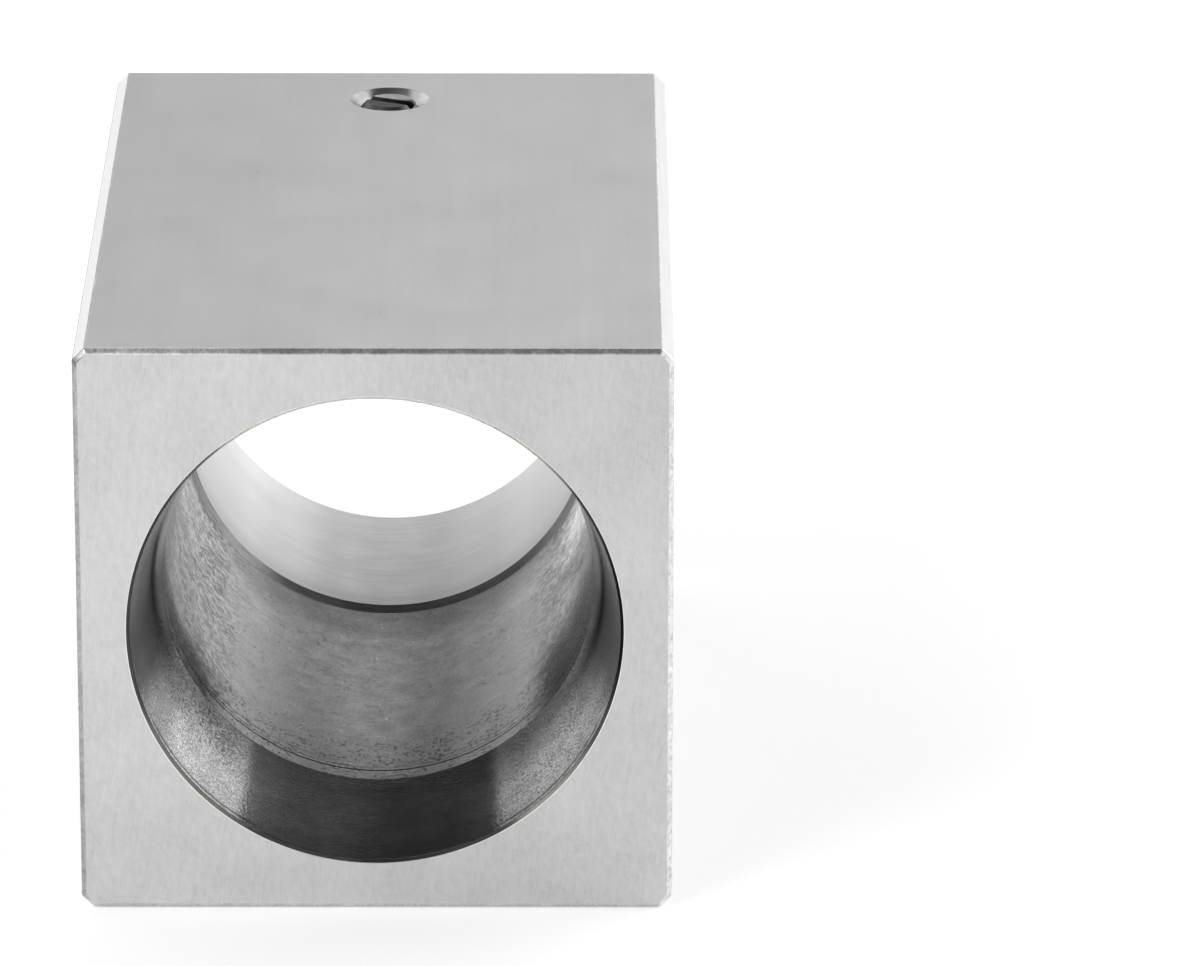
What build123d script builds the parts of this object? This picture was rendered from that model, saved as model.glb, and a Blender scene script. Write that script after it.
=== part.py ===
from build123d import *
import os
from math import radians, tan

# Square collet block: one hardened and ground steel block with a stepped collet bore, and the
# slotted dog-point set screw that keys the collet from turning.
# Millimetres, +Z up. The origin is the centre of the flat that the block stands on. The bore runs
# along Y with its tapered nose at -Y, and the key screw goes down through the top flat near +Y.

# Block
ACROSS_FLATS = 44.2
LENGTH = 69.5
LONG_EDGE_CHAMFER = 0.9
END_EDGE_BREAK = 0.3

# Collet bore, from the nose face inwards
MOUTH_CHAMFER = 0.25
NOSE_HALF_ANGLE = 10.0
NOSE_DEPTH = 11.4              # nose face to the small end of the taper
RELIEF_DEPTH = 0.35            # how far the turned middle is cut back outside the ground land
LEAD_IN_HALF_ANGLE = 20.0
LAND_LENGTH = 21.25            # rear face to the start of the ground land
REAR_CHAMFER = 0.8
COLLET_BODY_DIA = 31.75
COLLET_CLEARANCE = 0.025       # radial, collet body in the land

# Key screw and its tapped hole
KEY_FROM_REAR = 7.45
THREAD_DIA = 4.83
THREAD_PITCH = 25.4 / 32
THREAD_CLEARANCE = 0.04        # radial
COUNTERSINK_DIA = 6.3
COUNTERSINK_HALF_ANGLE = 45.0
SCREW_SINK = 0.12              # top of the screw below the flat, backed off
TIP_CLEARANCE = 0.15           # tip short of the bore's crown, backed off
KEY_TURNS = 2                  # turns from backed off to fully in the collet's keyway
THREAD_SETBACK = 0.25          # thread short of the bore with the key fully in
DOG_DIA = 3.15
DOG_TIP_CHAMFER = 0.2
SCREW_TOP_CHAMFER = 0.6
SLOT_WIDTH = 0.95
SLOT_DEPTH = 1.2
SLOT_ANGLE = -26.0             # about +Z, from +X

# Places that follow from the sizes above
land_r = COLLET_BODY_DIA / 2 + COLLET_CLEARANCE
relief_r = land_r + RELIEF_DEPTH
taper_r = relief_r + (NOSE_DEPTH - MOUTH_CHAMFER) * tan(radians(NOSE_HALF_ANGLE))
nose_y = -LENGTH / 2
rear_y = LENGTH / 2
axis_z = ACROSS_FLATS / 2
land_y = rear_y - LAND_LENGTH
lead_in_y = land_y - RELIEF_DEPTH / tan(radians(LEAD_IN_HALF_ANGLE))
key_y = rear_y - KEY_FROM_REAR
crown_z = axis_z + land_r
hole_r = THREAD_DIA / 2 + THREAD_CLEARANCE
key_travel = KEY_TURNS * THREAD_PITCH
screw_top_z = ACROSS_FLATS - SCREW_SINK
screw_tip_z = crown_z + TIP_CLEARANCE
dog_length = key_travel - TIP_CLEARANCE + THREAD_SETBACK


def ground_block():
    """The square bar with its long edges chamfered and both ends lightly broken."""
    bar = Pos(0, 0, axis_z) * Box(ACROSS_FLATS, LENGTH, ACROSS_FLATS)
    bar = chamfer(bar.edges().filter_by(Axis.Y), LONG_EDGE_CHAMFER)
    ends = bar.faces().filter_by(Axis.Y)
    return chamfer(ends.edges(), END_EDGE_BREAK)


def collet_bore():
    """The space inside: nose taper, turned relief, lead-in, ground land and rear chamfer."""
    profile = Polyline(
        (0, nose_y),
        (taper_r + MOUTH_CHAMFER, nose_y),
        (taper_r, nose_y + MOUTH_CHAMFER),
        (relief_r, nose_y + NOSE_DEPTH),
        (relief_r, lead_in_y),
        (land_r, land_y),
        (land_r, rear_y - REAR_CHAMFER),
        (land_r + REAR_CHAMFER, rear_y),
        (0, rear_y),
        close=True,
    )
    return Pos(0, 0, axis_z) * revolve(make_face(profile), Axis.Y)


def key_hole():
    """The tapped hole at its thread's outer size, with its countersink, from flat to bore."""
    top_r = COUNTERSINK_DIA / 2
    sink = (top_r - hole_r) / tan(radians(COUNTERSINK_HALF_ANGLE))
    outline = Plane.XZ * Polyline(
        (0, axis_z),
        (hole_r, axis_z),
        (hole_r, ACROSS_FLATS - sink),
        (top_r, ACROSS_FLATS),
        (0, ACROSS_FLATS),
        close=True,
    )
    return Pos(0, key_y, 0) * revolve(make_face(outline), Axis.Z)


def key_screw():
    """The set screw: chamfered top, threaded body, cone down to the dog, and a slot across the top."""
    thread_r = THREAD_DIA / 2
    dog_r = DOG_DIA / 2
    dog_top_z = screw_tip_z + dog_length
    outline = Plane.XZ * Polyline(
        (0, screw_tip_z),
        (dog_r - DOG_TIP_CHAMFER, screw_tip_z),
        (dog_r, screw_tip_z + DOG_TIP_CHAMFER),
        (dog_r, dog_top_z),
        (thread_r, dog_top_z + thread_r - dog_r),
        (thread_r, screw_top_z - SCREW_TOP_CHAMFER),
        (thread_r - SCREW_TOP_CHAMFER, screw_top_z),
        (0, screw_top_z),
        close=True,
    )
    screw = revolve(make_face(outline), Axis.Z)
    slot = Box(2 * THREAD_DIA, SLOT_WIDTH, 2 * SLOT_DEPTH)
    screw -= Pos(0, 0, screw_top_z) * Rot(0, 0, SLOT_ANGLE) * slot
    return Pos(0, key_y, 0) * screw


parts = {
    "block": ground_block() - collet_bore() - key_hole(),
    "key_screw": key_screw(),
}

os.makedirs("parts", exist_ok=True)
for node, solid in parts.items():
    export_step(solid, f"parts/{node}.step")
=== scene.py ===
from math import cos, hypot, pi, radians, sin, tan

import bmesh
import bpy
from mathutils import Matrix, Vector


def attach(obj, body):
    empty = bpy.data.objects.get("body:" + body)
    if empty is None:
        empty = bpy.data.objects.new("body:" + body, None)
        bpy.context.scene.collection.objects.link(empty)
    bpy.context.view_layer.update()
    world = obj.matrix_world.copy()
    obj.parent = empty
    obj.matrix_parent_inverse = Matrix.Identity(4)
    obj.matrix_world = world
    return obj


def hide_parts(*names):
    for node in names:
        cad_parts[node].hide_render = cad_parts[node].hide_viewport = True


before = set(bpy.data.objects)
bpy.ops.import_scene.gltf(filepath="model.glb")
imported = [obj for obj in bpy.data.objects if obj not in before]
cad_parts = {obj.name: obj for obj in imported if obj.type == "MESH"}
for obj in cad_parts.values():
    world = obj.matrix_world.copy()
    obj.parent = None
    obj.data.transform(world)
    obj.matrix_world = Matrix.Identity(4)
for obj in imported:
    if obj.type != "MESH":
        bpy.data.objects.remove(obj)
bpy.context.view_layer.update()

# The dressed model of a square collet block. Sizes are in millimetres, as on the drawing, and turned
# into metres where a mesh is made. The bore runs along Y with its tapered nose at -Y.

MM = 0.001
MICROMETRE = 1e-6

ACROSS_FLATS = 44.2
LENGTH = 69.5
LONG_EDGE_CHAMFER = 0.9
END_EDGE_BREAK = 0.3
STONED_EDGE = 0.08             # the hair of rounding that a stone leaves on every ground edge

MOUTH_CHAMFER = 0.25
NOSE_HALF_ANGLE = 10.0
NOSE_DEPTH = 11.4
RELIEF_DEPTH = 0.35
LEAD_IN_HALF_ANGLE = 20.0
LAND_LENGTH = 21.25
LAND_RADIUS = 15.9
REAR_CHAMFER = 0.8
MOUTH_LIP = 0.03               # the bright hair of a flat on each edge of the mouth's chamfer
RUBBED_EDGE_OUT = 0.02         # the taper's inner edge: out from the relief, before the edge and past it
RUBBED_EDGE_BEFORE = 0.04
RUBBED_EDGE_PAST = 0.06
TOOL_GROOVES = (               # the boring tool's run-out lines behind the taper: place, width, depth
    (1.70, 0.20, 0.035),
    (2.30, 0.18, 0.015),
    (3.10, 0.18, 0.015),
)

KEY_FROM_REAR = 7.45
THREAD_DIA = 4.83
THREAD_PITCH = 25.4 / 32
THREAD_CLEARANCE = 0.04
TAP_ROOT_RADIUS = 2.0          # the hole's thread at its smallest
SCREW_ROOT_RADIUS = 1.93       # the screw's thread at its smallest
CREST_SHARE = 0.45             # the crest's flat, of half the pitch that the two flanks leave
COUNTERSINK_DIA = 6.3
SCREW_SINK = 0.12
TIP_CLEARANCE = 0.15
DOG_LENGTH = 1.6875
DOG_DIA = 3.15
DOG_TIP_CHAMFER = 0.2
SCREW_TOP_CHAMFER = 0.6
SLOT_WIDTH = 0.95
SLOT_DEPTH = 1.2
SLOT_ANGLE = -26.0

BORE_STEPS = 288               # faces round the bore
SCREW_STEPS = 96               # faces round the screw, its hole and its countersink
TAP_INTO_BORE = 2.0            # how far the tap reaches into the bore, and out past the top flat
TAP_PAST_FLAT = 0.5
TOOL_OVERRUN = 1.0             # how far the countersink and the screw's rod reach past what is kept
BLANK_OVER_THREAD = 0.3        # how far the screw's blank stands outside its thread
WELD = 1e-5                    # points nearer than this are one point
THREAD_WELD = 0.002
SQUARE_ON = 0.999              # from here a face's normal counts as along an axis
CREASE = 4.0                   # degrees between two faces that make a sharp edge
TURNED_CREASE = 8.0            # the same on the countersink and the screw's turned faces
THREAD_CREASE = 25.0           # and on the threads

# The camera, fitted to the photo's corners, and the lamps and the floor, in metres, degrees and watts. The
# dome's places are parts of a direction of length 1. Its levels and the lamps are fitted to the photo's
# tones.
CAMERA_PLACE = (0.01459, -0.63715, 0.24979)
CAMERA_YAW, CAMERA_PITCH, CAMERA_ROLL = 0.196, 19.72, 0.124
CAMERA_LENS = 260.75
DOME_LEVELS = ((0.34, 0.47), (0.90, 0.22))     # height and grey, between the horizon and overhead
DOME_HORIZON, DOME_OVERHEAD = 1.0, 0.2
WALL_SIDES = (0.18, 0.50)                      # how far out the bright walls start, and are full
WALL_TOP = (0.50, 0.85)                        # how high they start to fade, and are gone
WALL_LEVELS = (                                # axis, start, full, the walls' level at each
    ("X", -0.6, 0.6, 1.05, 1.22),
    ("Y", 0.3, 0.7, 1.0, 1.3),
)
WINDOW_EDGES = (                               # axis, where the window starts, where it is full
    ("Z", 0.42, 0.49),
    ("Z", 0.66, 0.58),
    ("Y", 0.50, 0.70),
)
WINDOW_GLARE = 0.95                            # how much brighter than the walls the window is
LAMPS = (                      # name, place, power, width
    ("front lamp", (-0.75, -0.55, 0.80), 5.5, 0.7),
    ("rear lamp", (0.80, 0.60, 0.70), 4.0, 1.0),
)
FLOOR_REACH = 4.0
FLOOR_DROP = 0.00005           # the floor lies a hair under the block's flat
FLOOR_LIFT = 0.37              # how much the seen floor is lifted towards white

NOISE_MEAN = 0.5
PIT_EDGE = 0.07                # how far the noise rises from a pit's edge to its full depth
PIT_CROWDING = 0.45            # how strongly the clouds gather the pits
DARK_EDGE_TINT = 0.6           # how much of the darkening, stain and painted shade alike, the metal's glancing reflection takes on

relief_r = LAND_RADIUS + RELIEF_DEPTH
taper_r = relief_r + (NOSE_DEPTH - MOUTH_CHAMFER) * tan(radians(NOSE_HALF_ANGLE))
nose_y = -LENGTH / 2
rear_y = LENGTH / 2
axis_z = ACROSS_FLATS / 2
lip_y = nose_y + NOSE_DEPTH
land_y = rear_y - LAND_LENGTH
lead_in_y = land_y - RELIEF_DEPTH / tan(radians(LEAD_IN_HALF_ANGLE))
key_y = rear_y - KEY_FROM_REAR
screw_top_z = ACROSS_FLATS - SCREW_SINK
screw_tip_z = axis_z + LAND_RADIUS + TIP_CLEARANCE


# Camera and stage

def place_camera():
    """A long lens in front of the nose, a little to the right of the bore and looking down at it."""
    yaw, pitch, roll = radians(CAMERA_YAW), radians(CAMERA_PITCH), radians(CAMERA_ROLL)
    ahead = Vector((sin(yaw) * cos(pitch), cos(yaw) * cos(pitch), -sin(pitch)))
    level = Vector((cos(yaw), -sin(yaw), 0))
    above = level.cross(ahead)
    right = level * cos(roll) + above * sin(roll)
    up = above * cos(roll) - level * sin(roll)
    data = bpy.data.cameras.new("camera")
    data.sensor_width = 36.0
    data.lens = CAMERA_LENS
    data.clip_start = 0.01
    data.clip_end = 50.0
    camera = bpy.data.objects.new("camera", data)
    turn = Matrix((right, up, -ahead)).transposed().to_4x4()
    camera.matrix_world = Matrix.Translation(CAMERA_PLACE) @ turn
    bpy.context.scene.collection.objects.link(camera)
    bpy.context.scene.camera = camera


def linear(hex_colour):
    """An sRGB hex colour as the linear values that a socket takes."""
    def channel(at):
        value = int(hex_colour[at:at + 2], 16) / 255
        return value / 12.92 if value <= 0.04045 else ((value + 0.055) / 1.055) ** 2.4
    return (channel(1), channel(3), channel(5), 1.0)


def add(tree, kind, inputs=None, **settings):
    """Adds a node, sets its settings, and fills or links its inputs."""
    node = tree.nodes.new(kind)
    for name, value in settings.items():
        setattr(node, name, value)
    for key, value in (inputs or {}).items():
        if isinstance(value, bpy.types.NodeSocket):
            tree.links.new(value, node.inputs[key])
        else:
            node.inputs[key].default_value = value
    return node


def light_the_room():
    """Soft even light: a dome, white at the horizon and greyer overhead, and two lamps.

    The dome has bright walls at both sides and a bright window high behind the block."""
    world = bpy.data.worlds.new("studio")
    bpy.context.scene.world = world
    world.use_nodes = True
    tree = world.node_tree
    tree.nodes.clear()
    direction = add(tree, "ShaderNodeTexCoord").outputs["Generated"]
    part = add(tree, "ShaderNodeSeparateXYZ", {0: direction})
    dome = add(tree, "ShaderNodeValToRGB", {0: part.outputs["Z"]})
    steps = dome.color_ramp.elements
    steps[0].position, steps[0].color = 0.0, (DOME_HORIZON,) * 3 + (1,)
    steps[1].position, steps[1].color = 1.0, (DOME_OVERHEAD,) * 3 + (1,)
    for height, grey in DOME_LEVELS:
        steps.new(height).color = (grey,) * 3 + (1,)
    sideways = add(tree, "ShaderNodeMath", {0: part.outputs["X"]}, operation="ABSOLUTE")
    start, full = WALL_SIDES
    walls = add(tree, "ShaderNodeMapRange", {0: sideways.outputs[0], 1: start, 2: full, 3: 0.0, 4: 1.0},
                interpolation_type="SMOOTHSTEP")
    fading, gone = WALL_TOP
    below = add(tree, "ShaderNodeMapRange", {0: part.outputs["Z"], 1: fading, 2: gone, 3: 1.0, 4: 0.0},
                interpolation_type="SMOOTHSTEP")
    beside = add(tree, "ShaderNodeMath", {0: walls.outputs[0], 1: below.outputs[0]}, operation="MULTIPLY")
    window = 1.0
    for axis, start, full in WINDOW_EDGES:
        pane = add(tree, "ShaderNodeMapRange", {0: part.outputs[axis], 1: start, 2: full, 3: 0.0, 4: 1.0},
                   interpolation_type="SMOOTHSTEP")
        window = add(tree, "ShaderNodeMath", {0: pane.outputs[0], 1: window}, operation="MULTIPLY").outputs[0]
    share = add(tree, "ShaderNodeMath", {0: beside.outputs[0], 1: window}, operation="MAXIMUM").outputs[0]
    level = 1.0
    for axis, start, full, low, high in WALL_LEVELS:
        rise = add(tree, "ShaderNodeMapRange", {0: part.outputs[axis], 1: start, 2: full, 3: low, 4: high})
        level = add(tree, "ShaderNodeMath", {0: level, 1: rise.outputs[0]}, operation="MULTIPLY").outputs[0]
    glare = add(tree, "ShaderNodeMath", {0: window, 1: WINDOW_GLARE, 2: 1.0}, operation="MULTIPLY_ADD")
    level = add(tree, "ShaderNodeMath", {0: level, 1: glare.outputs[0]}, operation="MULTIPLY")
    tent = add(tree, "ShaderNodeMix", {0: share, 6: dome.outputs["Color"], 7: level.outputs[0]},
               data_type="RGBA")
    sky = add(tree, "ShaderNodeBackground", {"Color": tent.outputs[2], "Strength": 1.0})
    add(tree, "ShaderNodeOutputWorld", {"Surface": sky.outputs[0]})
    for name, place, power, width in LAMPS:
        data = bpy.data.lights.new(name, "AREA")
        data.shape = "SQUARE"
        data.size = width
        data.energy = power
        lamp = bpy.data.objects.new(name, data)
        lamp.location = place
        lamp.rotation_euler = Vector(place).to_track_quat("Z", "Y").to_euler()
        bpy.context.scene.collection.objects.link(lamp)


def lay_floor():
    """A wide matt white sheet that keeps the block's shadow."""
    bm = bmesh.new()
    bmesh.ops.create_grid(bm, x_segments=1, y_segments=1, size=FLOOR_REACH)
    bmesh.ops.translate(bm, vec=(0, 0, -FLOOR_DROP), verts=bm.verts)
    mesh = bpy.data.meshes.new("floor")
    bm.to_mesh(mesh)
    bm.free()
    floor = bpy.data.objects.new("floor", mesh)
    bpy.context.scene.collection.objects.link(floor)
    paper = bpy.data.materials.new("white_paper")
    paper.use_nodes = True
    tree = paper.node_tree
    tree.nodes.clear()
    matt = add(tree, "ShaderNodeBsdfDiffuse", {"Color": linear("#E7E7E7")})
    rays = add(tree, "ShaderNodeLightPath")
    seen = add(tree, "ShaderNodeMath", {0: rays.outputs["Is Camera Ray"], 1: rays.outputs["Is Glossy Ray"]},
               operation="MAXIMUM")
    shown = add(tree, "ShaderNodeMath", {0: seen.outputs[0], 1: rays.outputs["Is Transmission Ray"]},
                operation="MAXIMUM")
    lift = add(tree, "ShaderNodeMath", {0: shown.outputs[0], 1: FLOOR_LIFT}, operation="MULTIPLY")
    glow = add(tree, "ShaderNodeEmission", {"Color": (1, 1, 1, 1), "Strength": lift.outputs[0]})
    both = add(tree, "ShaderNodeAddShader", {0: matt.outputs[0], 1: glow.outputs[0]})
    add(tree, "ShaderNodeOutputMaterial", {"Surface": both.outputs[0]})
    floor.data.materials.append(paper)


# Materials

def steel(name, dark, light, roughness, grain, stains_and_painted_light=(), ragged=0.0, sharp=(), pits=()):
    """A bare steel surface, built up from layers of grain.

    dark and light are the two ends of its tone. Each layer of grain gives the size of its marks along X, Y
    and Z in millimetres, their turn about X, Y and Z in degrees, and how far they change the tone, the
    roughness and the height, in micrometres. A stain ramp, which carries real marks and painted light and
    shade alike, multiplies the tone where each of its (axis, start, full) ramps in millimetres has run up,
    and ragged moves the ramps about; sharp ones stay where they are. The glancing reflection takes on part
    of their darkening.
    A pit is (size, turn, the level of the noise that it starts at, depth), the tone left in it, and ramps
    like a stain's that say where such pits are."""
    material = bpy.data.materials.new(name)
    material.use_nodes = True
    tree = material.node_tree
    tree.nodes.clear()
    here = add(tree, "ShaderNodeTexCoord").outputs["Object"]
    place = add(tree, "ShaderNodeVectorMath", {0: here, 1: (1 / MM,) * 3}, operation="MULTIPLY").outputs[0]
    tone, gloss, height = 0.5, roughness, 0.0
    for size, turn, tone_share, gloss_share, depth in grain:
        grid = add(tree, "ShaderNodeMapping",
                   {"Vector": place, "Rotation": [radians(a) for a in turn], "Scale": size},
                   vector_type="TEXTURE")
        noise = add(tree, "ShaderNodeTexNoise",
                    {"Vector": grid.outputs[0], "Scale": 1.0, "Detail": 2.0, "Roughness": 0.6})
        swing = add(tree, "ShaderNodeMath", {0: noise.outputs["Fac"], 1: NOISE_MEAN},
                    operation="SUBTRACT").outputs[0]
        if tone_share:
            tone = add(tree, "ShaderNodeMath", {0: swing, 1: tone_share, 2: tone},
                       operation="MULTIPLY_ADD").outputs[0]
        if gloss_share:
            gloss = add(tree, "ShaderNodeMath", {0: swing, 1: gloss_share, 2: gloss},
                        operation="MULTIPLY_ADD").outputs[0]
        if depth:
            height = add(tree, "ShaderNodeMath", {0: swing, 1: depth, 2: height},
                         operation="MULTIPLY_ADD").outputs[0]
    shade = 1.0
    marks = []
    if stains_and_painted_light or sharp or pits:
        clouds = add(tree, "ShaderNodeTexNoise",
                     {"Vector": place, "Scale": 0.4, "Detail": 4.0, "Roughness": 0.65})
        drift = add(tree, "ShaderNodeVectorMath", {0: clouds.outputs["Color"], 1: (NOISE_MEAN,) * 3},
                    operation="SUBTRACT")
        crowd = add(tree, "ShaderNodeMath", {0: clouds.outputs["Fac"], 1: NOISE_MEAN},
                    operation="SUBTRACT").outputs[0]
        moved = add(tree, "ShaderNodeVectorMath", {0: drift.outputs[0], 1: (ragged,) * 3, 2: place},
                    operation="MULTIPLY_ADD")
        ragged_place = add(tree, "ShaderNodeSeparateXYZ", {0: moved.outputs[0]})
        clean_place = add(tree, "ShaderNodeSeparateXYZ", {0: place})
        marks += [(ragged_place, left, ramps, None) for left, *ramps in stains_and_painted_light]
        marks += [(clean_place, left, ramps, None) for left, *ramps in sharp]
        marks += [(clean_place, left, ramps, pit) for pit, left, *ramps in pits]
    for along, left, ramps, pit in marks:
        cover = 1.0
        for axis, start, full in ramps:
            ramp = add(tree, "ShaderNodeMapRange",
                       {0: along.outputs[axis], 1: start, 2: full, 3: 0.0, 4: 1.0},
                       interpolation_type="SMOOTHSTEP")
            cover = add(tree, "ShaderNodeMath", {0: ramp.outputs[0], 1: cover},
                        operation="MULTIPLY").outputs[0]
        if pit:
            size, turn, level, depth = pit
            grid = add(tree, "ShaderNodeMapping",
                       {"Vector": place, "Rotation": [radians(a) for a in turn], "Scale": size},
                       vector_type="TEXTURE")
            noise = add(tree, "ShaderNodeTexNoise",
                        {"Vector": grid.outputs[0], "Scale": 1.0, "Detail": 1.0, "Roughness": 0.5})
            deep = add(tree, "ShaderNodeMath", {0: crowd, 1: PIT_CROWDING, 2: noise.outputs["Fac"]},
                       operation="MULTIPLY_ADD")
            hole = add(tree, "ShaderNodeMapRange",
                       {0: deep.outputs[0], 1: level, 2: level + PIT_EDGE, 3: 0.0, 4: 1.0},
                       interpolation_type="SMOOTHSTEP")
            cover = add(tree, "ShaderNodeMath", {0: hole.outputs[0], 1: cover},
                        operation="MULTIPLY").outputs[0]
            if depth:
                height = add(tree, "ShaderNodeMath", {0: cover, 1: -depth, 2: height},
                             operation="MULTIPLY_ADD").outputs[0]
        kept = add(tree, "ShaderNodeMath", {0: cover, 1: left - 1.0, 2: 1.0}, operation="MULTIPLY_ADD")
        shade = add(tree, "ShaderNodeMath", {0: kept.outputs[0], 1: shade}, operation="MULTIPLY").outputs[0]
    colour = add(tree, "ShaderNodeMix", {0: tone, 6: linear(dark), 7: linear(light)},
                 data_type="RGBA").outputs[2]
    looks = {"Metallic": 1.0, "Roughness": gloss}
    if marks:
        colour = add(tree, "ShaderNodeVectorMath", {0: colour, "Scale": shade}, operation="SCALE").outputs[0]
        glancing_tint = add(tree, "ShaderNodeMath", {0: shade, 1: DARK_EDGE_TINT, 2: 1 - DARK_EDGE_TINT},
                   operation="MULTIPLY_ADD", use_clamp=True)
        looks["Specular Tint"] = glancing_tint.outputs[0]
    if isinstance(height, bpy.types.NodeSocket):
        bump = add(tree, "ShaderNodeBump", {"Height": height, "Strength": 1.0, "Distance": MICROMETRE})
        looks["Normal"] = bump.outputs[0]
    shader = add(tree, "ShaderNodeBsdfPrincipled", {"Base Color": colour, **looks})
    add(tree, "ShaderNodeOutputMaterial", {"Surface": shader.outputs[0]})
    return material


# Meshes

def piece_from(bm, name, materials):
    """Turns a bmesh in millimetres into an object in metres, with its normals outwards."""
    bmesh.ops.remove_doubles(bm, verts=bm.verts, dist=WELD)
    bmesh.ops.recalc_face_normals(bm, faces=bm.faces)
    bmesh.ops.scale(bm, vec=(MM, MM, MM), verts=bm.verts)
    mesh = bpy.data.meshes.new(name)
    bm.to_mesh(mesh)
    bm.free()
    for material in materials:
        mesh.materials.append(material)
    piece = bpy.data.objects.new(name, mesh)
    bpy.context.scene.collection.objects.link(piece)
    return piece


def turn_outline(bm, points, steps, axis, centre):
    """Spins an outline of (radius, place along the axis) points fully round the axis."""
    along = Vector((0, 1, 0)) if axis == "Y" else Vector((0, 0, 1))
    out = Vector((1, 0, 0))
    start = [bm.verts.new(Vector(centre) + out * r + along * a) for r, a in points]
    edges = [bm.edges.new(pair) for pair in zip(start, start[1:])]
    bmesh.ops.spin(bm, geom=start + edges, cent=centre, axis=along, angle=2 * pi, steps=steps,
                   use_merge=True, use_duplicate=False)
    bmesh.ops.remove_doubles(bm, verts=bm.verts, dist=WELD)


def cut(piece, tool, operation):
    """Cuts or keeps a piece with a tool solid, and drops the tool."""
    modifier = piece.modifiers.new("cut", "BOOLEAN")
    modifier.operation = operation
    modifier.solver = "EXACT"
    modifier.material_mode = "TRANSFER"
    modifier.object = tool
    bpy.context.view_layer.update()
    graph = bpy.context.evaluated_depsgraph_get()
    mesh = bpy.data.meshes.new_from_object(piece.evaluated_get(graph))
    piece.modifiers.clear()
    old = piece.data
    piece.data = mesh
    mesh.name = piece.name
    bpy.data.meshes.remove(old)
    spent = tool.data
    bpy.data.objects.remove(tool)
    bpy.data.meshes.remove(spent)


def crease(piece, limits):
    """Smooth shading with sharp edges where two faces meet at more than the limit of their finish."""
    bm = bmesh.new()
    bm.from_mesh(piece.data)
    for face in bm.faces:
        face.smooth = True
    for edge in bm.edges:
        if len(edge.link_faces) == 2:
            names = [piece.data.materials[face.material_index].name for face in edge.link_faces]
            limit = min(limits.get(name, CREASE) for name in names)
            edge.smooth = edge.calc_face_angle(0.0) < radians(limit)
    bm.to_mesh(piece.data)
    bm.free()


def threaded_rod(bm, crest_r, root_r, low_z, high_z):
    """A rod with a right-hand screw thread, closed by a flat at each end.

    Its crests lie at the same heights whatever its length, so the screw's fit into its hole's."""
    p = THREAD_PITCH
    flank = (crest_r - root_r) * tan(radians(30))
    crest = (p - 2 * flank) / 2 * CREST_SHARE
    root = p - 2 * flank - crest
    first = low_z - low_z % p - 2 * p
    turns = int((high_z - first) / p) + 3
    outline = [(root_r, 0), (root_r, root), (crest_r, root + flank), (crest_r, root + flank + crest),
               (root_r, p)]
    base = first + (crest + 2 * flank) / 2 - p / 2
    start = [bm.verts.new((r, key_y, base + z)) for r, z in outline]
    edges = [bm.edges.new(pair) for pair in zip(start, start[1:])]
    bmesh.ops.spin(bm, geom=start + edges, cent=(0, key_y, 0), axis=(0, 0, 1), dvec=(0, 0, p / SCREW_STEPS),
                   angle=2 * pi * turns, steps=SCREW_STEPS * turns, use_merge=False, use_duplicate=False)
    bmesh.ops.remove_doubles(bm, verts=bm.verts, dist=THREAD_WELD)
    for height, up in ((low_z, -1), (high_z, 1)):
        bmesh.ops.bisect_plane(bm, geom=bm.verts[:] + bm.edges[:] + bm.faces[:], dist=1e-7,
                               plane_co=(0, 0, height), plane_no=(0, 0, up), clear_outer=True)
        rim = [edge for edge in bm.edges
               if edge.is_boundary and all(abs(v.co.z - height) < 1e-5 for v in edge.verts)]
        bmesh.ops.holes_fill(bm, edges=rim, sides=0)


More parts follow.
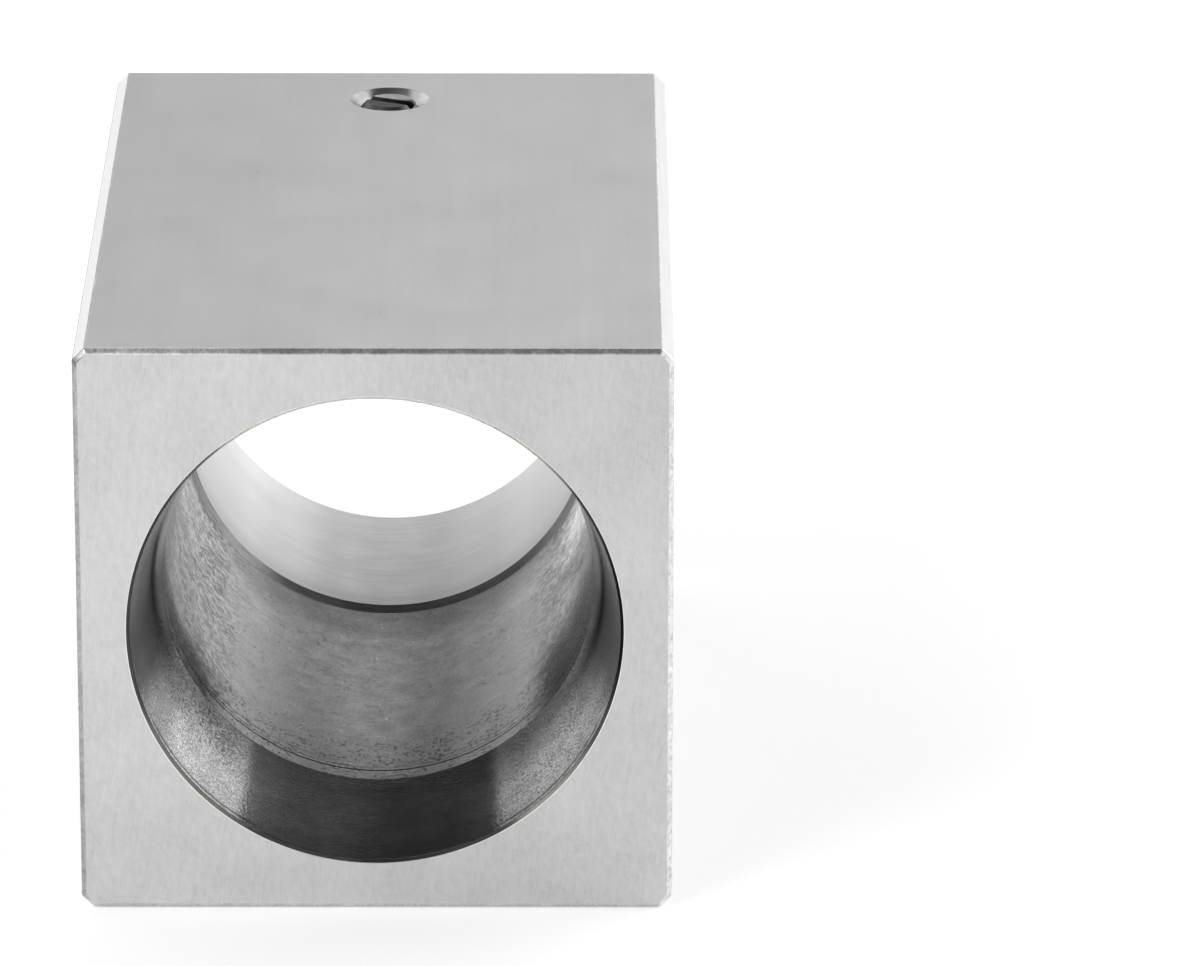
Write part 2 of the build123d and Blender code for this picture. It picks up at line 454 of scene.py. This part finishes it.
def make_block(finishes):
    """The ground block with its stepped bore and the tapped, countersunk hole through its top flat."""
    order = {name: i for i, name in enumerate(finishes)}
    half = ACROSS_FLATS / 2
    bm = bmesh.new()
    bmesh.ops.create_cube(bm, size=1.0)
    bmesh.ops.scale(bm, vec=(ACROSS_FLATS, LENGTH, ACROSS_FLATS), verts=bm.verts)
    bmesh.ops.translate(bm, vec=(0, 0, axis_z), verts=bm.verts)
    long_edges = [e for e in bm.edges if abs(e.verts[0].co.y - e.verts[1].co.y) > 1]
    bmesh.ops.bevel(bm, geom=long_edges, offset=LONG_EDGE_CHAMFER, offset_type="OFFSET", segments=1,
                    profile=0.5, affect="EDGES", material=-1)
    end_edges = [e for e in bm.edges if abs(e.verts[0].co.y - e.verts[1].co.y) < 0.01]
    bmesh.ops.bevel(bm, geom=end_edges, offset=END_EDGE_BREAK, offset_type="OFFSET", segments=1,
                    profile=0.5, affect="EDGES", material=-1)
    bmesh.ops.bevel(bm, geom=bm.edges[:], offset=STONED_EDGE, offset_type="OFFSET", segments=3,
                    profile=0.5, affect="EDGES", material=-1)
    bm.normal_update()
    ends = [f for f in bm.faces if abs(f.normal.y) > SQUARE_ON]
    bmesh.ops.delete(bm, geom=ends, context="FACES_ONLY")
    for face in bm.faces:
        n = face.normal
        if abs(n.z) > SQUARE_ON:
            face.material_index = order["flats"]
        elif abs(n.x) > SQUARE_ON:
            face.material_index = order["sides"]
        elif abs(n.y) < 0.01 and abs(abs(n.x) - abs(n.z)) < 0.01:
            face.material_index = order["chamfers"]
        else:
            face.material_index = order["edges"]
    rims = {end: [e for e in bm.edges if e.is_boundary and e.verts[0].co.y * end > 0] for end in (-1, 1)}

    mouth_r = taper_r + MOUTH_CHAMFER
    slope = tan(radians(NOSE_HALF_ANGLE))
    lip = 0.7 * MOUTH_LIP          # across and along a 45 degree chamfer, a lip takes this much of each
    bore = [
        (mouth_r + MOUTH_LIP, nose_y),
        (mouth_r - lip, nose_y + lip),
        (taper_r + lip, nose_y + MOUTH_CHAMFER - lip),
        (taper_r - MOUTH_LIP * slope, nose_y + MOUTH_CHAMFER + MOUTH_LIP),
        (relief_r + RUBBED_EDGE_OUT, lip_y - RUBBED_EDGE_BEFORE),
        (relief_r, lip_y + RUBBED_EDGE_PAST),
    ]
    for from_lip, width, depth in TOOL_GROOVES:
        bore += [(relief_r, lip_y + from_lip), (relief_r + depth, lip_y + from_lip + width / 2),
                 (relief_r, lip_y + from_lip + width)]
    bore += [
        (relief_r, lead_in_y),
        (LAND_RADIUS, land_y),
        (LAND_RADIUS, rear_y - REAR_CHAMFER),
        (LAND_RADIUS + REAR_CHAMFER, rear_y),
    ]
    zones = [(nose_y + 0.4 * MOUTH_LIP, "lips"), (nose_y + MOUTH_CHAMFER - lip, "mouth"),
             (nose_y + MOUTH_CHAMFER + MOUTH_LIP, "lips"), (lip_y, "taper"), (lead_in_y, "relief"),
             (land_y, "lead_in"), (rear_y - REAR_CHAMFER, "land"), (rear_y, "rear_chamfer")]
    outside = set(bm.faces)
    turn_outline(bm, bore, BORE_STEPS, "Y", (0, 0, axis_z))
    for face in bm.faces:
        if face not in outside:
            y = face.calc_center_median().y
            face.material_index = order[next(name for limit, name in zones if y < limit)]
    for end in (-1, 1):
        circle = [e for e in bm.edges if e.is_boundary and e.verts[0].co.y * end > 0
                  and hypot(e.verts[0].co.x, e.verts[0].co.z - axis_z) < half - 1]
        made = bmesh.ops.triangle_fill(bm, edges=rims[end] + circle, use_beauty=True,
                                       use_dissolve=False, normal=(0, end, 0))
        for face in made["geom"]:
            if isinstance(face, bmesh.types.BMFace):
                face.material_index = order["ends"]
    block = piece_from(bm, "collet_block", finishes.values())

    bm = bmesh.new()
    threaded_rod(bm, THREAD_DIA / 2 + THREAD_CLEARANCE, TAP_ROOT_RADIUS,
                 axis_z + LAND_RADIUS - TAP_INTO_BORE, ACROSS_FLATS + TAP_PAST_FLAT)
    cut(block, piece_from(bm, "tap", [finishes["tapped_thread"]]), "DIFFERENCE")
    bm = bmesh.new()
    top_r = COUNTERSINK_DIA / 2
    # A 45 degree cone: its radius grows as its height does.
    outline = [(0, ACROSS_FLATS - top_r), (top_r + TOOL_OVERRUN, ACROSS_FLATS + TOOL_OVERRUN),
               (0, ACROSS_FLATS + TOOL_OVERRUN)]
    turn_outline(bm, outline, SCREW_STEPS, "Z", (0, key_y, 0))
    cut(block, piece_from(bm, "countersink_tool", [finishes["countersink"]]), "DIFFERENCE")
    crease(block, {finishes["tapped_thread"].name: THREAD_CREASE,
                   finishes["countersink"].name: TURNED_CREASE})
    return block


def make_screw(thread_steel, cut_steel, top_steel):
    """The key screw: a threaded body with a chamfered, slotted top, and a plain dog at its tip."""
    thread_r, dog_r = THREAD_DIA / 2, DOG_DIA / 2
    bm = bmesh.new()
    threaded_rod(bm, thread_r, SCREW_ROOT_RADIUS, screw_tip_z - TOOL_OVERRUN, screw_top_z + TOOL_OVERRUN)
    screw = piece_from(bm, "key_screw_dressed", [thread_steel])
    bm = bmesh.new()
    dog_top_z = screw_tip_z + DOG_LENGTH
    wide = thread_r + BLANK_OVER_THREAD
    outline = [
        (0, screw_tip_z),
        (dog_r - DOG_TIP_CHAMFER, screw_tip_z),
        (dog_r, screw_tip_z + DOG_TIP_CHAMFER),
        (dog_r, dog_top_z),
        (wide, dog_top_z + wide - dog_r),
        (wide, screw_top_z - SCREW_TOP_CHAMFER - BLANK_OVER_THREAD),
        (thread_r - SCREW_TOP_CHAMFER, screw_top_z),
        (0, screw_top_z),
    ]
    turn_outline(bm, outline, SCREW_STEPS, "Z", (0, key_y, 0))
    for face in bm.faces:
        face.material_index = 1 if face.calc_center_median().z > screw_top_z - 0.01 else 0
    cut(screw, piece_from(bm, "blank", [cut_steel, top_steel]), "INTERSECT")
    bm = bmesh.new()
    bmesh.ops.create_cube(bm, size=1.0)
    bmesh.ops.scale(bm, vec=(2 * THREAD_DIA, SLOT_WIDTH, 2 * SLOT_DEPTH), verts=bm.verts)
    bmesh.ops.rotate(bm, cent=(0, 0, 0), matrix=Matrix.Rotation(radians(SLOT_ANGLE), 3, "Z"),
                     verts=bm.verts)
    bmesh.ops.translate(bm, vec=(0, key_y, screw_top_z), verts=bm.verts)
    cut(screw, piece_from(bm, "slot_cutter", [cut_steel]), "DIFFERENCE")
    crease(screw, {thread_steel.name: THREAD_CREASE, cut_steel.name: TURNED_CREASE})
    return screw


bpy.context.scene.view_settings.view_transform = "Standard"
place_camera()
light_the_room()
lay_floor()

# Finishes. Grain finer than about 0.1 mm doesn't show in the picture, so grinding and honing marks, really
# 5 to 30 micrometres apart, are drawn 0.1 to 0.2 mm apart. The stain ramps in the bore are fitted: their
# places and strengths give its faces the photo's tones, and they are painted reflections and painted shade as
# well as marks.

wheel_marks = [
    ((0.15, 14, 0.15), (0, 0, 0), 0.15, 0.02, 0.0),
    ((0.4, 1.2, 0.4), (0, 0, 0), 0.30, 0.03, 0.0),
    ((0.7, 30, 0.7), (0, 0, 0), 0.35, 0.04, 0.0),
    ((6, 6, 6), (0, 0, 0), 0.4, 0.06, 0.0),
]
# A thin dark line round the taper just inside the mouth, low down on both sides: a painted reflection.
dark_line = (("Y", nose_y + 0.50, nose_y + 0.65), ("Y", nose_y + 0.90, nose_y + 0.75), ("Z", 16, 14))
finishes = {
    # Hardened alloy steel, surface ground: an even satin grey with faint clouds and fainter lines. The sides
    # have the same finish without the top flat's darker left end.
    "flats": steel("ground_steel_flats", "#B4B4B5", "#C6C6C7", 0.30, wheel_marks,
                   stains_and_painted_light=[(0.93, ("X", 6, -22))]),
    "sides": steel("ground_steel_sides", "#B4B4B5", "#C6C6C7", 0.30, wheel_marks),
    # The same steel with its ends ground by hand on a belt: short upright strokes that cross a little. The
    # ends are darker towards the right, painted shade where the light from the left falls off, and a little
    # darker towards the top.
    "ends": steel("belted_steel_ends", "#B4B4B4", "#DADADA", 0.30, [
        ((0.12, 5, 1.6), (0, 9, 0), 0.40, 0.10, 0.4),
        ((0.3, 5, 4.0), (0, 6, 0), 0.30, 0.08, 0.0),
        ((1.6, 5, 0.14), (0, 14, 0), 0.22, 0.05, 0.3),
        ((0.5, 5, 0.9), (0, -20, 0), 0.55, 0.06, 0.0),
        ((6, 5, 8), (0, 0, 0), 0.5, 0.08, 0.0),
    ], stains_and_painted_light=[(0.91, ("X", -8, 8)), (0.96, ("Z", 28, 38))], pits=[
        (((0.07, 5, 7.0), (0, 14, 0), 0.66, 1.0), 0.90),
        (((0.07, 5, 5.0), (0, -50, 0), 0.70, 1.0), 0.88),
    ]),
    # Long edges milled before grinding: a brighter, sharper gloss with lines along the cut.
    "chamfers": steel("milled_steel_chamfers", "#C2C2C2", "#D8D8D8", 0.24, [
        ((0.12, 20, 0.12), (0, 0, 0), 0.9, 0.10, 0.6),
        ((1, 5, 1), (0, 0, 0), 0.5, 0.08, 0.0),
    ], stains_and_painted_light=[(1.12, ("X", -18, -20))]),
    # Edges broken with a hand stone: a speckled line. The brighter left of the front edge and the brighter
    # right edges are painted highlights, and the left edges, darkest at the top corner, are painted shade.
    "edges": steel("stoned_steel_edges", "#8E8E8E", "#E2E2E0", 0.34, [
        ((0.25, 0.25, 0.35), (0, 0, 0), 1.1, 0.20, 3.5),
        ((1.5, 1.5, 1.5), (0, 0, 0), 0.8, 0.10, 0.0),
    ], stains_and_painted_light=[
        (1.6, ("X", -6, -13), ("Z", 43.4, 43.6)),
        (0.45, ("X", -20.9, -21.3), ("Z", 42.5, 43.3)),
        (0.72, ("X", -21.5, -21.9), ("Z", 43.5, 42.5)),
        (1.35, ("X", 20.8, 21.6)),
    ], ragged=0.3),
    # The mouth's chamfer: turned rough and dull, with a faint brown cast. Its tone is painted shade and
    # highlight: dark below the top, darkest at the sides, with painted highlights at the top and low on both
    # sides.
    "mouth": steel("oily_mouth_chamfer_painted_light", "#CCC4BC", "#FFFCF8", 0.56, [
        ((0.30, 0.12, 0.30), (0, 0, 0), 1.4, 0.30, 6.0),
        ((2.5, 1, 2.5), (0, 0, 0), 1.0, 0.10, 0.0),
    ], stains_and_painted_light=[
        (0.12, ("Z", 37, 32)),
        (0.25, ("X", -10, -13), ("Z", 32, 36)),
        (0.45, ("X", -3, 0), ("X", 12, 9), ("Z", 12, 8)),
        (0.3, ("X", 9, 14), ("Z", 16.5, 20), ("Z", 32, 26)),
        (2.6, ("X", -9, -11), ("Z", 17, 13)),
        (2.4, ("X", 9.5, 11.5), ("Z", 14, 11)),
        (1.8, ("Z", 38, 40)),
        (0.5, ("X", 16.5, 18)),
    ], ragged=1.5),
    # The chamfer's two edges, rubbed bright by the collets that pass them. The inner edge is painted dark
    # except low on both sides, where it is left as a painted highlight.
    "lips": steel("rubbed_mouth_lips_painted_highlight", "#D0D0D0", "#FFFFFF", 0.22, [
        ((0.8, 0.2, 0.8), (0, 0, 0), 1.2, 0.20, 1.0),
    ], stains_and_painted_light=[
        (0.2, ("Y", nose_y + 0.08, nose_y + 0.16), ("X", -10, -8), ("X", 11, 8.5)),
        (0.2, ("Y", nose_y + 0.08, nose_y + 0.16), ("Z", 14, 17)),
    ]),
    # Nose taper, ground and polished by the collets that close in it: nearly a mirror, finely frosted. Its
    # tone is
    # painted reflection and shade: darker towards the relief, along its middle and at the right, with darker
    # walls above the lighter parts low on both sides.
    "taper": steel("polished_nose_taper", "#B8B8B8", "#FFFFFF", 0.09, [
        ((0.14, 0.14, 0.14), (0, 0, 0), 2.0, 0.10, 2.0),
        ((0.25, 0.25, 0.25), (0, 0, 0), 1.0, 0.05, 5.0),
        ((1.6, 0.16, 1.6), (0, 0, 0), 0.6, 0.06, 1.0),
        ((4, 2, 4), (0, 0, 0), 0.6, 0.05, 0.0),
    ], stains_and_painted_light=[
        (0.46, ("Y", nose_y + 2.0, lip_y + 0.5)),
        (0.83, ("X", 4, 9)),
        (0.86, ("X", -9.4, -8.4), ("X", 9, 8)),
        (0.75, ("X", 4, 8), ("Y", -29.5, -25)),
        (0.41, ("Z", 15, 18.5), ("Z", 36, 31)),
    ], sharp=[(0.4, *dark_line, ("X", 8 * side, 10 * side)) for side in (-1, 1)], ragged=2.0, pits=[
        (((0.22, 0.22, 0.22), (0, 0, 0), 0.57, 5.0), 0.45, ("X", -9, -12), ("Z", 19, 16), ("Y", -31, -27)),
        (((0.20, 0.20, 0.20), (0, 0, 0), 0.54, 3.0), 0.80, ("X", -9, -12), ("Z", 19, 16)),
        (((0.20, 0.20, 0.20), (0, 0, 0), 0.55, 4.0), 0.62, ("X", 8, 11), ("Z", 19, 16)),
    ]),
    # Relief as the boring bar left it before hardening: circular tool lines and spots. Its tone is painted
    # light and shade:
    # darker at the bottom, dark patches behind the taper, lighter walls near the taper and towards the back,
    # and a dark roof, painted shade, with a painted bright band along its edge. The photo doesn't show the
    # roof, only something dark that the taper mirrors.
    "relief": steel("bored_relief", "#8C8C8C", "#E0E0E0", 0.25, [
        ((6, 0.20, 6), (0, 0, 0), 0.25, 0.03, 2.0),
        ((0.7, 0.25, 0.7), (0, 0, 0), 0.20, 0.02, 0.0),
        ((0.2, 0.6, 0.2), (0, 0, 0), 0.5, 0.04, 0.0),
        ((1.8, 2.0, 1.8), (0, 0, 0), 0.6, 0.08, 0.0),
    ], stains_and_painted_light=[
        (0.54, ("Z", 18, 5)),
        (0.84, ("X", -5, -9), ("Z", 28, 24)),
        (0.80, ("X", -3, 4), ("Z", 20, 16)),
        (0.92, ("X", 6, 9), ("Z", 20, 16)),
        (1.7, ("Z", 13, 16), ("Y", -2, 3), ("X", -4, 4)),
        (0.86, ("X", -13, -15.3), ("Y", 4, 0)),
        (0.76, ("X", 14, 15.5), ("Y", 4, 0)),
        (1.12, ("X", 8, 11), ("Y", 2, 5)),
        (0.75, ("Y", 5, 10), ("Z", 14, 9)),
        (0.7, ("Z", 19, 22), ("Y", 0, -8)),
        (0.34, ("X", 0, -1), ("Y", -15, -20), ("Z", 10, 13.5)),
        (0.24, ("X", 0, 1), ("Y", -7, -16), ("Z", 10, 13)),
        (1.6, ("Y", -12, -17), ("Z", 18, 23)),
    ], sharp=[
        (0.14, ("Z", 27.4, 28.4)),
        (0.6, ("Z", 29, 35)),
        (2.4, ("Z", 27.4, 28.4), ("Y", 4, 12.5)),
    ], ragged=2.5, pits=[
        (((0.4, 0.3, 0.4), (0, 0, 0), 0.64, 0.0), 0.70),
        (((0.3, 0.4, 0.3), (0, 0, 0), 0.58, 1.0), 0.55, ("Y", -12, -18)),
        (((0.5, 0.3, 0.5), (0, 0, 0), 0.49, 5.0), 0.55, ("Z", 9, 13)),
        (((1.2, 0.5, 1.2), (0, 0, 0), 0.50, 0.0), 0.84, ("Z", 9, 13)),
    ]),
    # Lead-in cone between relief and land: turned, a dark ring round the bright land. The ring's darkness is
    # painted shade, deepest across its middle and a little deeper at the right.
    "lead_in": steel("turned_lead_in", "#686868", "#A0A0A0", 0.30, [
        ((12, 0.15, 12), (0, 0, 0), 1.0, 0.15, 10.0),
        ((2, 0.5, 2), (0, 0, 0), 0.8, 0.10, 0.0),
    ], stains_and_painted_light=[(0.24, ("X", -12, -8), ("X", 14, 9)), (0.6, ("X", 9, 12))], ragged=2.0),
    # Rear land, internally ground: smooth and cloudy, the cleanest face in the bore. Its tone is painted
    # reflection and shade: darker next to the lead-in and towards the front, darker on the right and far
    # left, with a brighter band left of the bottom and a lighter rear end.
    "land": steel("ground_collet_land", "#C0C0C0", "#D8D8D8", 0.20, [
        ((20, 0.12, 20), (0, 0, 0), 0.6, 0.08, 0.6),
        ((3, 3, 3), (0, 0, 0), 0.4, 0.03, 0.0),
    ], stains_and_painted_light=[
        (0.84, ("Y", 17.5, 13.8)),
        (0.84, ("Y", 29, 16)),
        (0.76, ("X", 4, 9)),
        (1.15, ("X", -1, -4)),
        (0.78, ("X", -6, -10)),
        (1.1, ("Y", 28, 33)),
    ]),
    # Rear chamfer: turned, with fine circles, a little glossier than the ends.
    "rear_chamfer": steel("turned_rear_chamfer", "#B8B8B8", "#DADADA", 0.26, [
        ((16, 0.14, 16), (0, 0, 0), 1.0, 0.10, 2.0),
        ((2, 1, 2), (0, 0, 0), 0.6, 0.10, 0.0),
    ]),
    # Countersink: cut with a bright ring of fine circles. Its left side and the middle of its rear wall are
    # painted darker: painted shade.
    "countersink": steel("countersunk_steel", "#A8A8A8", "#CCCCCC", 0.38, [
        ((6, 6, 0.10), (0, 0, 0), 1.0, 0.10, 2.0),
        ((0.8, 0.8, 0.6), (0, 0, 0), 1.6, 0.10, 0.0),
    ], stains_and_painted_light=[
        (0.55, ("X", -1.4, -2.4)),
        (0.30, ("Y", key_y + 1.7, key_y + 2.4), ("X", -2.0, -1.2), ("X", 2.0, 1.2)),
    ], ragged=0.4),
    # Tapped thread: dark, torn and oily.
    "tapped_thread": steel("tapped_steel_thread", "#484644", "#86827E", 0.40, [
        ((0.5, 0.5, 0.15), (0, 0, 0), 1.2, 0.25, 5.0),
    ]),
}
block = make_block(finishes)
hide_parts("block")
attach(block, "block")

# The key screw is plain alloy steel: a rolled thread, a turned dog and chamfer, and a faced, slotted top.
thread_steel = steel("rolled_screw_thread", "#6C6C6C", "#9C9C9C", 0.34, [
    ((1.5, 1.5, 0.12), (0, 0, 0), 1.0, 0.15, 2.0),
    ((0.6, 0.6, 0.6), (0, 0, 0), 0.8, 0.10, 0.0),
])
# The chamfer and slot walls are painted darker at the front, near the top: painted shade.
turned_steel = steel("turned_screw_steel", "#7C7C7C", "#A8A8A8", 0.30, [
    ((3, 3, 0.10), (0, 0, 0), 1.0, 0.15, 2.0),
    ((0.6, 0.6, 0.6), (0, 0, 0), 0.8, 0.10, 0.0),
], stains_and_painted_light=[(0.35, ("Y", key_y + 0.5, key_y), ("Z", 42.5, 43.0))], ragged=0.3)
# The top's front half is painted darker: painted shade from the rim in front of it.
top_steel = steel("faced_screw_top", "#7E7E80", "#B4B4B4", 0.32, [
    ((1.8, 0.14, 1), (0, 0, -26), 1.4, 0.20, 3.0),
    ((0.6, 0.6, 0.6), (0, 0, 0), 1.0, 0.10, 0.0),
], stains_and_painted_light=[(0.30, ("Y", key_y + 0.5, key_y))], ragged=0.3)
screw = make_screw(thread_steel, turned_steel, top_steel)
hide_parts("key_screw")
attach(screw, "key")
